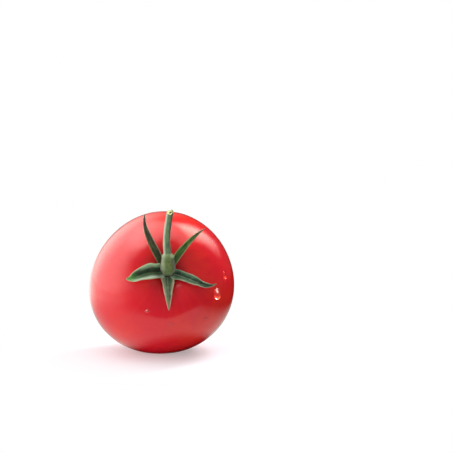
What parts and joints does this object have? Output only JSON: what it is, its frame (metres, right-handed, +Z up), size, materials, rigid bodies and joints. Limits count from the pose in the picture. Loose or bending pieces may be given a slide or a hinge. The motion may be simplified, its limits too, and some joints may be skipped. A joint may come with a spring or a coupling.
{
  "type": "tomato",
  "caption": "Ripe round red tomato lying on its side, with a green star calyx and a short knuckled length of cut stem.",
  "frame": {"origin": "in the small flat spot on the side of the fruit, where it rests on the surface under it", "axes": "+Z up. The stem end faces -Y and 22 degrees up. +X is to the right for someone who looks at the stem end."},
  "size_m": [0.0708, 0.0676, 0.0729],
  "materials": {
    "skin": "smooth, waxy, glossy ripe tomato skin",
    "calyx": "soft green leaf with fine pale hairs, matt",
    "stem": "soft green stem with fine pale hairs and a pale cut end, matt",
    "water": "clear drops of water on the skin"
  },
  "bodies": {
    "root": {"fruit": "skin", "calyx_disc": "calyx", "stem": "stem", "sepal_right": "calyx", "sepal_upper_right": "calyx", "sepal_upper_left": "calyx", "sepal_left": "calyx", "sepal_lower": "calyx"}
  },
  "joints": []
}
